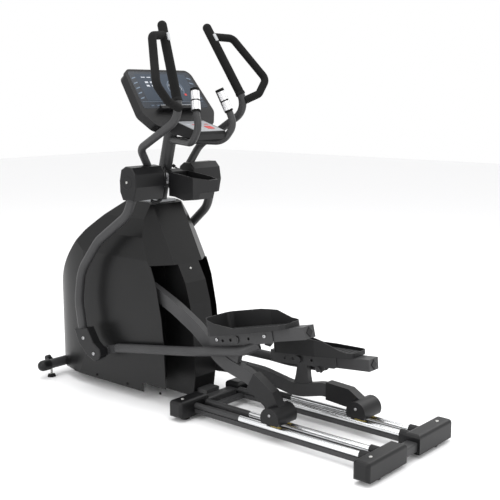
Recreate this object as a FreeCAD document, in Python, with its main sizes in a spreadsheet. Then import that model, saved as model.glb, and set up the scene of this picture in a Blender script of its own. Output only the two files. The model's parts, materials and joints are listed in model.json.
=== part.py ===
"""Elliptical trainer: front-drive machine with two roller carriages on aluminium rails.

Row frame: +Z up, +Y towards the front of the machine (the way the user faces), +X to the user's
right. The origin is on the floor, under the middle of the whole machine. Millimetres.
"""
import FreeCAD, Part
import math
import os

import Sketcher
from FreeCAD import Placement, Rotation, Vector

os.makedirs("parts", exist_ok=True)
doc = FreeCAD.newDocument("elliptical_trainer")

# ---------------------------------------------------------------- driving dimensions
SIZES = (
    # floor frame
    ("foot_gap", 404, "between the two levelling feet of one stabiliser"),
    ("front_foot_y", 912, "front stabiliser, ahead of the middle"),
    ("front_tube", 46, "front stabiliser, round tube"),
    ("front_tube_height", 63, "floor to the axis of the front stabiliser"),
    ("middle_foot_y", 12, "middle stabiliser"),
    ("rear_foot_y", -932, "rear stabiliser, behind the middle"),
    ("front_span", 552, "front stabiliser over its caps"),
    ("middle_span", 526, "middle stabiliser over its caps"),
    ("rear_span", 600, "rear stabiliser over its caps"),
    ("foot_height", 25, "floor to the underside of the middle and rear stabilisers"),
    ("bar_height", 38, "middle and rear stabiliser tube, tall way"),
    ("bar_depth", 50, "middle and rear stabiliser tube, front to back"),
    ("wheel_radius", 17, "transport wheel"),
    ("wheel_x", 190, "centre plane to a transport wheel"),
    ("wheel_y", 950, "transport wheel axis, ahead of the middle"),
    ("wheel_height", 80, "transport wheel axis above the floor"),
    ("spine_width", 80, "spine tube"),
    ("wall", 3, "wall of the steel tubes"),
    # rails
    ("rail_inner", 106, "centre plane to an inner rail"),
    ("rail_outer", 172, "centre plane to an outer rail"),
    ("rail_axis_height", 57, "floor to the axis of a rail"),
    ("rail_diameter", 25, "aluminium rail"),
    ("rail_start", -270, "front end of the rails"),
    ("rail_end", -866, "rear end of the rails"),
    # stride linkage
    ("crank_y", 440, "crank axis, ahead of the middle"),
    ("crank_height", 345, "crank axis above the floor"),
    ("crank_radius", 250, "half of the stride"),
    ("crank_turn", 79.6, "degrees from straight ahead up to the left crank pin, at rest"),
    ("roller_radius", 30, "polyurethane roller"),
    ("beam_length", 1050, "roller axle to crank pin"),
    ("beam_plane", 139, "centre plane to the middle of a beam"),
    ("beam_width", 32, "beam tube, thin way"),
    ("beam_depth", 56, "beam tube, tall way"),
    ("pedal_along", 300, "roller axle to pedal pivot, along the beam"),
    ("pedal_above", 160, "pedal pivot above the line of the beam"),
    ("arm_y", 270, "swing arm axis, ahead of the middle"),
    ("arm_height", 985, "swing arm axis above the floor"),
    ("arm_length", 806, "swing arm axis to the link pivot"),
    ("link_length", 763, "link pivot to pedal pivot"),
    ("arm_plane", 240, "centre plane to a lower swing arm"),
    ("link_plane", 203, "centre plane to the front end of a link tube"),
    # tubes
    ("arm_diameter", 40, "lower swing arm"),
    ("handle_diameter", 34, "upper handle"),
    ("grip_diameter", 39, "foam over the handle"),
    ("loop_diameter", 34, "foam over the loop"),
    ("axle_diameter", 25, "axle that carries the two swing arms"),
    ("barrel_diameter", 46, "pivot barrel of a swing arm"),
    ("running_gap", 0.05, "radial clearance of a running fit"),
    # pedal
    ("tray_length", 390, "foot tray"),
    ("tray_width", 162, "foot tray"),
    ("tray_floor", 5, "thickness of the tray floor"),
    # housing
    ("housing_half", 176, "half width of the housing"),
    ("housing_wall", 3, "wall of the plastic panels"),
    ("nose_half", 80, "half width of the middle cover strips"),
    ("housing_bottom", 46, "floor to the lower edge of the panels"),
    ("housing_top", 880, "top of the housing"),
    ("slot_top", 616, "top of the rear opening"),
    # drive
    ("pulley_radius", 148, "big drive pulley"),
    ("flywheel_radius", 118, "flywheel"),
    ("flywheel_y", 716, "flywheel axis, ahead of the middle"),
    ("flywheel_height", 300, "flywheel axis above the floor"),
    ("small_pulley_radius", 27, "pulley on the flywheel"),
    # mast and console
    ("mast_diameter", 58, "mast tube"),
    ("mast_foot_y", 352, "mast axis where it leaves the housing"),
    ("mast_head_y", 268, "mast axis under the console"),
    ("mast_head_height", 1212, "top end of the mast"),
    ("console_top_half", 196, "half width of the console at the top"),
    ("console_low_half", 219, "half width of the console at the bottom"),
    ("console_tall", 296, "console, bottom to top edge"),
    ("console_depth", 46, "console, front to back"),
    ("console_lean", 37, "degrees that the console leans back from upright"),
    ("key_travel", 2, "travel of a key"),
)

sheet = doc.addObject("Spreadsheet::Sheet", "Sizes")
for row, (alias, number, meaning) in enumerate(SIZES, start=1):
    sheet.set(f"A{row}", alias)
    sheet.set(f"B{row}", str(number))
    sheet.setAlias(f"B{row}", alias)
    sheet.set(f"C{row}", meaning)
doc.recompute()


def size(alias):
    """A driving dimension, as a number."""
    return float(sheet.get(alias))


def value(expression):
    """The number that an expression of the sheet gives."""
    return float(sheet.evalExpression(expression))


SIDES = (("left", -1), ("right", 1))
X_AXIS = Vector(1, 0, 0)
Y_AXIS = Vector(0, 1, 0)
Z_AXIS = Vector(0, 0, 1)
pieces = []


# ---------------------------------------------------------------- helpers
def keep(feature, label):
    """Names a finished sub-part and adds it to those that are written out."""
    feature.Label = label
    pieces.append(feature)
    return feature


def shaped(label, shape, place=None):
    """A sub-part whose shape is made with Part's own functions."""
    feature = doc.addObject("Part::Feature", label)
    feature.Shape = shape
    if place is not None:
        feature.Placement = place.multiply(shape.Placement)
    return keep(feature, label)


def origin_plane(body, role):
    return next(item for item in body.Origin.OriginFeatures if item.Role == role)


def outline(body, name, role, corners, lift="0"):
    """A closed sketch of straight edges; each corner is a pair of expressions of the sheet."""
    sketch = body.newObject("Sketcher::SketchObject", name)
    sketch.AttachmentSupport = [(origin_plane(body, role), "")]
    sketch.MapMode = "FlatFace"
    sketch.setExpression("AttachmentOffset.Base.z", lift)
    points = [Vector(value(across), value(up), 0) for across, up in corners]
    for index, point in enumerate(points):
        sketch.addGeometry(Part.LineSegment(point, points[(index + 1) % len(points)]))
    for index in range(len(points)):
        following = (index + 1) % len(points)
        sketch.addConstraint(Sketcher.Constraint("Coincident", index, 2, following, 1))
    for index, pair in enumerate(corners):
        for kind, expression in zip(("DistanceX", "DistanceY"), pair):
            rule = Sketcher.Constraint(kind, -1, 1, index, 1, value(expression))
            number = sketch.addConstraint(rule)
            sketch.setExpression(f"Constraints[{number}]", expression)
    return sketch


def ring(body, name, role, centre, radius, lift="0"):
    """A sketch of one circle, its centre and radius given as expressions."""
    sketch = body.newObject("Sketcher::SketchObject", name)
    sketch.AttachmentSupport = [(origin_plane(body, role), "")]
    sketch.MapMode = "FlatFace"
    sketch.setExpression("AttachmentOffset.Base.z", lift)
    middle = Vector(value(centre[0]), value(centre[1]), 0)
    sketch.addGeometry(Part.Circle(middle, Vector(0, 0, 1), value(radius)))
    for kind, expression in zip(("DistanceX", "DistanceY"), centre):
        number = sketch.addConstraint(Sketcher.Constraint(kind, -1, 1, 0, 3, value(expression)))
        sketch.setExpression(f"Constraints[{number}]", expression)
    number = sketch.addConstraint(Sketcher.Constraint("Radius", 0, value(radius)))
    sketch.setExpression(f"Constraints[{number}]", radius)
    return sketch


def new_body(label):
    body = doc.addObject("PartDesign::Body", label)
    return keep(body, label)


def pad(body, sketch, length):
    """Raises a sketch along its plane's normal."""
    feature = body.newObject("PartDesign::Pad", "Pad")
    feature.Profile = sketch
    feature.setExpression("Length", length)
    return feature


def pocket(body, sketch, length):
    """Cuts a sketch along its plane's normal, the same way as a pad would raise it."""
    feature = body.newObject("PartDesign::Pocket", "Pocket")
    feature.Profile = sketch
    feature.setExpression("Length", length)
    feature.Reversed = True
    return feature


def disc(body, name, centre, radius, low, high):
    """Adds a round step to a turned piece, between two distances from the centre plane."""
    pad(body, ring(body, name, "YZ_Plane", centre, radius, low), f"({high}) - ({low})")


def recess(body, name, centre, radius, low, high):
    """Takes a round hollow out of a turned piece, between two distances from the centre plane."""
    pocket(body, ring(body, name, "YZ_Plane", centre, radius, low), f"({high}) - ({low})")


def rounded(body, base, edges, radius):
    feature = body.newObject("PartDesign::Fillet", "Fillet")
    feature.Base = (base, edges)
    feature.setExpression("Radius", radius)
    return feature


def edges_along(shape, direction, shortest=0.0):
    """Names of the straight edges that run along a direction."""
    names = []
    for index, edge in enumerate(shape.Edges, start=1):
        if edge.Curve.TypeId != "Part::GeomLine" or edge.Length < shortest:
            continue
        if abs(abs(edge.Curve.Direction.dot(direction)) - 1) < 1e-6:
            names.append(f"Edge{index}")
    return names


def upright_edges(shape):
    """The straight edges of a shape that stand along Z."""
    return [
        edge for edge in shape.Edges
        if edge.Curve.TypeId == "Part::GeomLine" and abs(edge.Curve.Direction.z) > 0.9999
    ]


def box(low, high):
    corner = Vector(*low)
    return Part.makeBox(high[0] - low[0], high[1] - low[1], high[2] - low[2], corner)


def rod(start, end, radius):
    start = Vector(*start)
    along = Vector(*end) - start
    return Part.makeCylinder(radius, along.Length, start, along)


def fused(shapes):
    first, *others = shapes
    return first.multiFuse(others).removeSplitter() if others else first


def path(points, radii):
    """Straight runs joined by tangent arcs, one radius for each inner corner."""
    points = [Vector(*point) for point in points]
    edges = []
    start = points[0]
    for before, corner, after, radius in zip(points, points[1:], points[2:], radii):
        back = (before - corner).normalize()
        ahead = (after - corner).normalize()
        half = back.getAngle(ahead) / 2
        reach = radius / math.tan(half)
        enter = corner + back * reach
        leave = corner + ahead * reach
        middle_way = (back + ahead).normalize()
        middle = corner + middle_way * (radius / math.sin(half) - radius)
        if (enter - start).Length > 1e-3:
            edges.append(Part.LineSegment(start, enter).toShape())
        edges.append(Part.Arc(enter, middle, leave).toShape())
        start = leave
    edges.append(Part.LineSegment(start, points[-1]).toShape())
    return Part.Wire(edges)


def start_of(wire):
    """First point and direction of a path."""
    edge = wire.Edges[0]
    return edge.valueAt(edge.FirstParameter), edge.tangentAt(edge.FirstParameter)


def pipe(wire, diameter):
    """A round bar along a path."""
    point, direction = start_of(wire)
    circle = Part.Wire(Part.makeCircle(diameter / 2, point, direction))
    return wire.makePipeShell([circle], True, False)


def polygon(points):
    """A flat face through points of the YZ plane."""
    corners = [Vector(0, across, up) for across, up in points]
    return Part.Face(Part.makePolygon(corners + corners[:1]))


def slab(face, low, high):
    """Raises a face of the YZ plane from one X to another."""
    moved = face.copy()
    moved.translate(Vector(low, 0, 0))
    return moved.extrude(Vector(high - low, 0, 0))


def side_span(side, near, far):
    """The lowest and highest X of a stretch given as distances from the centre plane."""
    return (near, far) if side > 0 else (-far, -near)


def about_x(degrees, position=(0, 0, 0)):
    return Placement(Vector(*position), Rotation(X_AXIS, degrees))


# ---------------------------------------------------------------- stride linkage at rest
def linkage(turn):
    """Where one side's crank pin, roller, pedal pivot and link pivot are, for a crank angle."""
    crank_y, crank_z = size("crank_y"), size("crank_height")
    pin_y = crank_y + size("crank_radius") * math.cos(turn)
    pin_z = crank_z + size("crank_radius") * math.sin(turn)
    axle_z = size("rail_axis_height") + size("rail_diameter") / 2 + size("roller_radius") + 0.5
    drop = pin_z - axle_z
    axle_y = pin_y - math.sqrt(size("beam_length") ** 2 - drop ** 2)
    tilt = math.atan2(drop, pin_y - axle_y)
    along, above = size("pedal_along"), size("pedal_above")
    pedal_y = axle_y + along * math.cos(tilt) - above * math.sin(tilt)
    pedal_z = axle_z + along * math.sin(tilt) + above * math.cos(tilt)
    arm_y, arm_z = size("arm_y"), size("arm_height")
    across, up = pedal_y - arm_y, pedal_z - arm_z
    gap = math.hypot(across, up)
    arm, link = size("arm_length"), size("link_length")
    foot = (arm ** 2 - link ** 2 + gap ** 2) / (2 * gap)
    offset = math.sqrt(arm ** 2 - foot ** 2)
    link_y = arm_y + (foot * across - offset * up) / gap
    link_z = arm_z + (foot * up + offset * across) / gap
    return {
        "pin": (pin_y, pin_z),
        "axle": (axle_y, axle_z),
        "beam_tilt": math.degrees(tilt),
        "pedal": (pedal_y, pedal_z),
        "link": (link_y, link_z),
        "arm_swing": math.degrees(math.atan2(link_y - arm_y, arm_z - link_z)),
        "link_tilt": math.degrees(math.atan2(pedal_z - link_z, link_y - pedal_y)),
    }


rest_turn = math.radians(size("crank_turn"))
REST = {"left": linkage(rest_turn), "right": linkage(rest_turn + math.pi)}


# ---------------------------------------------------------------- floor frame
def flat_stabiliser(label, foot_y, span):
    """A cross tube of rectangular section with soft edges, open inside."""
    body = new_body(label)
    low = f"-(Sizes.{span} / 2 - 26)"
    high = f"Sizes.{span} / 2 - 26"
    base = "Sizes.foot_height"
    top = "Sizes.foot_height + Sizes.bar_height"
    corners = [(low, base), (high, base), (high, top), (low, top)]
    front = f"-(Sizes.{foot_y} + Sizes.bar_depth / 2)"
    raised = pad(body, outline(body, label + "_section", "XZ_Plane", corners, front), "Sizes.bar_depth")
    doc.recompute()
    soft = rounded(body, raised, edges_along(raised.Shape, X_AXIS), "8")
    doc.recompute()
    wall = "Sizes.wall"
    inner_corners = [
        (low, f"{base} + {wall}"), (high, f"{base} + {wall}"),
        (high, f"{top} - {wall}"), (low, f"{top} - {wall}"),
    ]
    hollow = outline(body, label + "_bore", "XZ_Plane", inner_corners, f"{front} + {wall}")
    pocket(body, hollow, f"Sizes.bar_depth - 2 * {wall}")
    doc.recompute()
    assert body.Shape.Volume < soft.Shape.Volume - 1
    return body


def wheel_cheeks():
    """Four cheeks on the front tube, two for each transport wheel."""
    tube_y, tube_z = size("front_foot_y"), size("front_tube_height")
    wheel_y, wheel_z = size("wheel_y"), size("wheel_height")
    cheek = polygon([
        (tube_y + 6, tube_z + 16), (tube_y + 20, tube_z - 4), (wheel_y + 5, wheel_z - 6),
        (wheel_y + 6, wheel_z + 5), (wheel_y - 2, wheel_z + 8),
    ])
    cheeks = []
    for side_name, side in SIDES:
        for reach in (size("wheel_x") - 13, size("wheel_x") + 10):
            low, high = side_span(side, reach, reach + 3)
            cheeks.append(slab(cheek, low, high))
        low, high = side_span(side, size("wheel_x") - 15, size("wheel_x") + 15)
        cheeks.append(rod((low, wheel_y, wheel_z), (high, wheel_y, wheel_z), 4))
    return cheeks


def front_stabiliser():
    """A round cross tube with the forks of the transport wheels welded to its front."""
    reach = size("front_span") / 2 - 24
    start = (-reach, size("front_foot_y"), size("front_tube_height"))
    end = (reach, size("front_foot_y"), size("front_tube_height"))
    outer = rod(start, end, size("front_tube") / 2)
    bore = rod(start, end, size("front_tube") / 2 - size("wall"))
    return fused([outer] + wheel_cheeks()).cut(bore)


shaped("front_stabiliser", front_stabiliser())
middle_stabiliser = flat_stabiliser("middle_stabiliser", "middle_foot_y", "middle_span")
rear_stabiliser = flat_stabiliser("rear_stabiliser", "rear_foot_y", "rear_span")


def transport_wheel(label, side):
    """A small wheel on the axle pin of its fork."""
    body = new_body(label)
    centre = ("Sizes.wheel_y", "Sizes.wheel_height")
    low, high = f"{side} * Sizes.wheel_x - 9", f"{side} * Sizes.wheel_x + 9"
    disc(body, label + "_rim", centre, "Sizes.wheel_radius", low, high)
    recess(body, label + "_bore", centre, "4 + Sizes.running_gap", low, high)
    doc.recompute()


for side_name, side in SIDES:
    transport_wheel(side_name + "_transport_wheel", side)

# ---------------------------------------------------------------- rails
def rail_places():
    """Centre line X of the four rails."""
    return [side * reach for side_name, side in SIDES for reach in (size("rail_inner"), size("rail_outer"))]


def rail_bed():
    """Steel runners, rail stubs and the cross tube behind the middle stabiliser."""
    front = size("middle_foot_y") - size("bar_depth") / 2
    rear = size("rear_foot_y") + size("bar_depth") / 2
    start, axis = size("rail_start"), size("rail_axis_height")
    radius = size("rail_diameter") / 2
    top = axis - radius + 1
    outer = size("rail_outer") + 11
    members = [box((-outer, front - 46, 28), (outer, front - 18, top))]
    for x in rail_places():
        members.append(box((x - 10, rear, 26), (x + 10, front, top)))
        members.append(rod((x, start, axis), (x, front, axis), radius))
    bed = fused(members)
    for x in rail_places():
        bed = bed.cut(rod((x, size("rail_end"), axis), (x, start, axis), radius))
    return bed


def rails():
    """Four polished tubes that lie in the runners."""
    tubes = []
    axis = size("rail_axis_height")
    radius = size("rail_diameter") / 2
    for x in rail_places():
        start = (x, size("rail_end"), axis)
        end = (x, size("rail_start"), axis)
        tubes.append(rod(start, end, radius).cut(rod(start, end, radius - 2.5)))
    return Part.makeCompound(tubes)


bed_shape = rail_bed()
rail_shape = rails()
shaped("rail_bed", bed_shape)
shaped("guide_rails", rail_shape)

# ---------------------------------------------------------------- caps and feet of the stabilisers
def flat_cap(side, foot_y, far, near, depth, height):
    """A moulded hood over the end of a flat stabiliser, with mouths for the tube and the rails."""
    low, high = side_span(side, near, far)
    base = 16
    block = box((low, foot_y - depth / 2, base), (high, foot_y + depth / 2, base + height))
    soft = [
        edge for edge in block.Edges
        if abs(abs(edge.BoundBox.Center.x) - far) < 1 or abs(edge.BoundBox.Center.z - base - height) < 1
    ]
    return block.makeFillet(15, soft)


def rail_collar(x):
    """A half-round hood of the rear cap over the end of one rail."""
    end, axis = size("rail_end"), size("rail_axis_height")
    hood = rod((x, end - 30, axis), (x, end + 16, axis), 19)
    foot = box((x - 19, end - 30, 20), (x + 19, end + 16, axis))
    return hood.fuse(foot)


def caps():
    middle_y, rear_y = size("middle_foot_y"), size("rear_foot_y")
    tools = [bed_shape, rail_shape]
    for foot_y, span in ((middle_y, size("middle_span")), (rear_y, size("rear_span"))):
        reach = span / 2 - 26
        depth, low = size("bar_depth") / 2, size("foot_height")
        tools.append(box((-reach, foot_y - depth, low), (reach, foot_y + depth, low + size("bar_height"))))
    hoods = []
    for side_name, side in SIDES:
        hoods.append(flat_cap(side, middle_y, size("middle_span") / 2, 95, 74, 72))
        rear = [flat_cap(side, rear_y, size("rear_span") / 2, 46, 70, 74)]
        rear += [rail_collar(side * size("rail_inner")), rail_collar(side * size("rail_outer"))]
        hoods.append(fused(rear))
    hoods = [hood.cut(tools) for hood in hoods]
    tube_z, radius = size("front_tube_height"), size("front_tube") / 2
    for side_name, side in SIDES:
        reach = size("front_span") / 2
        inner = side * (reach - 60)
        lip = side * (reach - 24)
        outer = side * (reach - radius - 3)
        sleeve = rod((inner, size("front_foot_y"), tube_z), (outer, size("front_foot_y"), tube_z), radius + 3)
        ball = Part.makeSphere(radius + 3, Vector(outer, size("front_foot_y"), tube_z))
        mouth = rod((side * 100, size("front_foot_y"), tube_z), (lip, size("front_foot_y"), tube_z), radius)
        hoods.append(sleeve.fuse(ball).cut(mouth))
    return hoods


cap_shapes = caps()
shaped("stabiliser_caps", Part.makeCompound(cap_shapes))


def levelling_foot(x, y, top):
    """A threaded stud with a rubber pad at its lower end."""
    pad_disc = Part.makeCone(20, 17, 12, Vector(x, y, 0))
    nut = Part.makeCylinder(9, 4, Vector(x, y, 12))
    stud = Part.makeCylinder(5, top - 12, Vector(x, y, 12))
    return fused([pad_disc, nut, stud])


def feet():
    gap = size("foot_gap") / 2
    front_y, tube_z = size("front_foot_y"), size("front_tube_height")
    tube_line = rod((-300, front_y, tube_z), (300, front_y, tube_z), size("front_tube") / 2)
    studs = []
    for side_name, side in SIDES:
        studs.append(levelling_foot(side * gap, front_y, tube_z).cut(tube_line))
        for foot_y in (size("middle_foot_y"), size("rear_foot_y")):
            foot = levelling_foot(side * gap, foot_y, size("foot_height"))
            studs.append(foot.cut(cap_shapes))
    return Part.makeCompound(studs)


shaped("levelling_feet", feet())


# ---------------------------------------------------------------- centre frame
SEAT_Y = 369
SEAT_Z = 812
SEAT_PLATE = 12
LEG_NEAR = 44
LEG_FAR = 62


def drive_hole(y, z, radius):
    return rod((-80, y, z), (80, y, z), radius)


def front_tube_space(clearance):
    y, z = size("front_foot_y"), size("front_tube_height")
    return rod((-300, y, z), (300, y, z), size("front_tube") / 2 + clearance)


def centre_frame():
    """Spine, two uprights that straddle the drive, flywheel posts and the plate under the mast."""
    wall = size("wall")
    half = size("spine_width") / 2
    rear = size("middle_foot_y") + size("bar_depth") / 2
    front_y = size("front_foot_y")
    low, high = 32, 76
    spine = box((-half, rear, low), (half, front_y, high))
    bore = box((-half + wall, rear + 4, low + wall), (half - wall, front_y - 40, high - wall))
    members = [spine.cut(bore)]
    foot_y = size("mast_foot_y") + 222
    crank_y, crank_z = size("crank_y"), size("crank_height")
    wheel_y, wheel_z = size("flywheel_y"), size("flywheel_height")
    for side_name, side in SIDES:
        near, far = side_span(side, LEG_NEAR, LEG_FAR)
        leg = polygon([
            (foot_y - 22, high), (foot_y + 22, high), (SEAT_Y + 20, SEAT_Z), (SEAT_Y - 20, SEAT_Z),
        ])
        members.append(slab(leg, near, far))
        foot_low, foot_high = side_span(side, 30, LEG_FAR)
        members.append(box((foot_low, foot_y - 40, low + 8), (foot_high, foot_y + 40, high)))
        bearing = polygon([
            (crank_y - 30, crank_z - 33), (crank_y + 60, crank_z - 33), (crank_y + 80, crank_z + 40),
            (crank_y - 30, crank_z + 33),
        ])
        members.append(slab(bearing, near, far))
        post = polygon([
            (wheel_y - 26, high), (wheel_y + 26, high),
            (wheel_y + 24, wheel_z + 24), (wheel_y - 24, wheel_z + 24),
        ])
        post_low, post_high = side_span(side, 32, 40)
        members.append(slab(post, post_low, post_high))
    members.append(box((-LEG_FAR, SEAT_Y - 32, SEAT_Z), (LEG_FAR, SEAT_Y + 32, SEAT_Z + SEAT_PLATE)))
    frame = fused(members)
    gap = size("running_gap")
    bearings = [drive_hole(crank_y, crank_z, 12.5 + gap), drive_hole(wheel_y, wheel_z, 6 + gap)]
    return frame.cut(bearings + [front_tube_space(0)])


frame_shape = centre_frame()
shaped("base_frame", frame_shape)


# ---------------------------------------------------------------- mast and arm axle
def mast_line(height):
    """Y of the mast axis at a height."""
    low_y, head_y = size("mast_foot_y"), size("mast_head_y")
    share = (height - size("housing_top")) / (size("mast_head_height") - size("housing_top"))
    return low_y + (head_y - low_y) * share


CONSOLE_FOOT = (0, 178, 1213)
console_place = about_x(90 - size("console_lean"), CONSOLE_FOOT)


def in_console(shape):
    """A shape drawn flat on the console (X across, Y up its face, Z towards the user), put in place."""
    moved = shape.copy()
    moved.Placement = console_place.multiply(moved.Placement)
    return moved


def mast():
    base, top = SEAT_Z + SEAT_PLATE, size("mast_head_height") + 45
    radius = size("mast_diameter") / 2
    line = rod((0, mast_line(base - 30), base - 30), (0, mast_line(top), top), radius)
    bore_low, bore_high = base - 40, top - 60
    bore = rod((0, mast_line(bore_low), bore_low), (0, mast_line(bore_high), bore_high), radius - size("wall"))
    below = box((-100, 200, base - 60), (100, 500, base))
    above = in_console(box((-300, -100, -size("console_depth")), (300, 300, 60)))
    return line.cut([below, above]), bore.cut(below)


mast_solid, mast_bore = mast()
shaped("mast", mast_solid.cut(mast_bore))


def arm_axle():
    """The fixed axle of both swing arms, with its boss and gusset on the back of the mast."""
    y, z = size("arm_y"), size("arm_height")
    radius = size("axle_diameter") / 2
    axle = rod((-258, y, z), (258, y, z), radius)
    boss = rod((-38, y, z), (38, y, z), 24)
    gusset = polygon([(y, z - 24), (y + 48, z - 52), (y + 42, z + 40), (y, z + 24)])
    ribs = [slab(gusset, -22, -14), slab(gusset, 14, 22)]
    return fused([axle, boss] + ribs).cut(mast_solid)


axle_shape = arm_axle()
shaped("pivot_axle", axle_shape)


# ---------------------------------------------------------------- housing
REAR_EDGE = 178
COLUMN_HALF = 64


def drawn_in(points, inset):
    """The corners of a closed outline of the YZ plane, all moved inwards by a distance."""
    moved = []
    for index, here in enumerate(points):
        into = (here - points[index - 1]).normalize()
        out = (points[(index + 1) % len(points)] - here).normalize()
        inward = Vector(0, -into.z - out.z, into.y + out.y)
        moved.append(here + inward * (inset / (1 + into.dot(out))))
    return moved


def housing_side(inset):
    """The housing seen from the side: a spline up the front, straight runs elsewhere."""
    top, low, slot = size("housing_top"), size("housing_bottom"), size("slot_top")
    front = [(880, low), (930, 105), (951, 235), (948, 360), (910, 470), (800, 616), (690, 720), (470, top)]
    rest = [
        (330, top), (305, top - 10), (REAR_EDGE, slot), (235, slot), (205, 540), (175, 400), (162, 285), (150, low),
    ]
    points = drawn_in([Vector(0, across, up) for across, up in front + rest], inset)
    curve = Part.BSplineCurve()
    curve.interpolate(points[:len(front)])
    corners = points[len(front) - 1:] + points[:1]
    edges = [curve.toShape()]
    edges += [Part.LineSegment(one, two).toShape() for one, two in zip(corners, corners[1:])]
    return Part.Face(Part.Wire(edges))


def housing_plan(inset):
    """The housing seen from above: straight sides that draw in to the nose."""
    half, nose = size("housing_half") - inset, size("nose_half") - inset
    front = 1000
    turn = 680
    deep = front - turn
    side = [Vector(half, 100, 0), Vector(half, turn, 0)]
    bend = Part.BSplineCurve()
    bend.interpolate([
        Vector(half, turn, 0), Vector(half - 14, turn + 0.35 * deep, 0),
        Vector(half - 48, turn + 0.66 * deep, 0), Vector(nose, turn + 0.86 * deep, 0),
        Vector(0, turn + deep, 0),
    ])
    right = [Part.LineSegment(side[0], side[1]).toShape(), bend.toShape()]
    left = [edge.mirror(Vector(), X_AXIS) for edge in right]
    back = Part.LineSegment(Vector(-half, 100, 0), Vector(half, 100, 0)).toShape()
    return Part.Face(Part.Wire(Part.__sortEdges__(right + left + [back])))


def housing_front(inset):
    """The housing seen from the front: upright sides under sloping shoulders."""
    half = size("housing_half") - inset
    shoulder = [
        (half - 8, 0), (half, 140), (half, 640), (half - 10, 735), (half - 40, 812), (85 - inset, 886),
    ]
    points = [Vector(x, 0, z) for x, z in shoulder]
    points += [Vector(-x, 0, z) for x, z in reversed(shoulder)]
    return Part.Face(Part.makePolygon(points + points[:1]))


def housing_solid(inset):
    side = slab(housing_side(inset), -200, 200)
    plan = housing_plan(inset).extrude(Vector(0, 0, 1000))
    front = housing_front(inset)
    front.translate(Vector(0, 50, 0))
    front = front.extrude(Vector(0, 1000, 0))
    solid = side.common(plan).common(front)
    slot = size("slot_top")
    lean = (305 - REAR_EDGE) / (size("housing_top") - 10 - slot)
    for side_name, side_sign in SIDES:
        near, far = 84 - inset, 190
        back = REAR_EDGE - 2 + inset
        points = [(near, back), (far, back + 76), (far, 60), (near, 60)]
        corners = [Vector(side_sign * x, y, slot) for x, y in points]
        wedge = Part.Face(Part.makePolygon(corners + corners[:1]))
        solid = solid.cut(wedge.extrude(Vector(0, 300 * lean, 300)))
    return solid


def rear_column():
    """The hollow column between the two slots of the pedal beams, open towards the drive."""
    low, slot = size("housing_bottom"), size("slot_top")
    wall = size("housing_wall")
    top = slot + 2 * wall
    profile = [
        (REAR_EDGE + wall, top), (REAR_EDGE, slot), (137, 540), (110, 450), (96, 360), (88, 250), (82, 130),
        (92, 62), (104, low), (300, low), (300, top),
    ]
    face = polygon(profile)
    column = slab(face, -COLUMN_HALF, COLUMN_HALF)
    column = column.cut(slab(face.makeOffset2D(-wall), -COLUMN_HALF + wall, COLUMN_HALF - wall))
    drop = box((-COLUMN_HALF + wall, 60, low - 5), (COLUMN_HALF - wall, 400, low + wall + 1))
    lid = box((-COLUMN_HALF + wall, REAR_EDGE + 10, slot - wall - 1), (COLUMN_HALF - wall, 400, top + 5))
    front = box((-100, GUARD_BACK - 0.5, 0), (100, 400, top + 5))
    return column.cut([drop, lid, front, spine_space()])


def housing_shell():
    wall = size("housing_wall")
    shell = housing_solid(0).cut(housing_solid(wall))
    half = size("housing_half") - wall
    low = size("housing_bottom")
    rear_opening = box((-half, 100, 20), (half, 300, size("slot_top") + wall))
    floor_opening = box((-half + 10, 150, 20), (half - 10, 862, low + wall))
    mast_hole = rod((0, mast_line(780), 780), (0, mast_line(960), 960), size("mast_diameter") / 2 + 0.5)
    tools = [rear_opening, floor_opening, mast_hole, frame_shape]
    for cap in cap_shapes:
        tools.append(cap)
    return shell.cut(tools + [front_tube_space(1), spine_space()])


def spine_space():
    half = size("nose_half")
    nose_end = box((-half, 800, 20), (half, 960, 92))
    spine = box((-42, 0, 20), (42, 900, 78))
    return nose_end.fuse(spine)


GUARD_BACK = 262
shell_shape = housing_shell()
nose = size("nose_half")
left_zone = box((-300, 0, 0), (-nose, 1100, 1000))
right_zone = box((nose, 0, 0), (300, 1100, 1000))
front_zone = box((-nose, 400, 0), (nose, 1100, 1000))
rear_zone = box((-nose, 0, 0), (nose, 400, 1000))
shaped("left_shroud", shell_shape.common(left_zone))
shaped("right_shroud", shell_shape.common(right_zone))
shaped("front_shroud", shell_shape.common(front_zone))
shaped("rear_shroud", shell_shape.common(rear_zone).fuse(rear_column()).removeSplitter())


def trim_strips():
    """Thin light strips laid on the front edge of each side panel."""
    strips = []
    outer = housing_solid(-1.2).cut(housing_solid(0))
    for side_name, side in SIDES:
        low, high = side_span(side, nose + 1, nose + 9)
        strips.append(outer.common(box((low, 560, 130), (high, 1000, 850))))
    return strips


shaped("trim_strips", Part.makeCompound(trim_strips()))


def top_collar():
    """A light grey plate round the foot of the mast."""
    top = size("housing_top")
    plate = housing_solid(-10).cut(housing_solid(0))
    plate = plate.common(box((-66, 318, top - 30), (66, 452, top + 12)))
    return plate.cut(rod((0, mast_line(780), 780), (0, mast_line(980), 980), size("mast_diameter") / 2 + 0.5))


shaped("top_collar", top_collar())


def drive_guard():
    """An inner guard round the pulleys and the belt, open at the bottom."""
    outline_points = [
        (GUARD_BACK, 96), (GUARD_BACK, 590), (300, 700), (560, 700), (700, 560), (842, 440), (842, 96),
    ]
    outer_face = polygon(outline_points)
    shell = slab(outer_face, -66, 66).cut(slab(outer_face.makeOffset2D(-2.5), -63.5, 63.5))
    floor = box((-63.5, 264.5, 90), (63.5, 839.5, 100))
    return shell.cut([floor, frame_shape, drive_hole(size("crank_y"), size("crank_height"), 15)])


shaped("drive_guard", drive_guard())


# ---------------------------------------------------------------- drive
CRANK_CENTRE = ("Sizes.crank_y", "Sizes.crank_height")
FLYWHEEL_CENTRE = ("Sizes.flywheel_y", "Sizes.flywheel_height")


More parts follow.
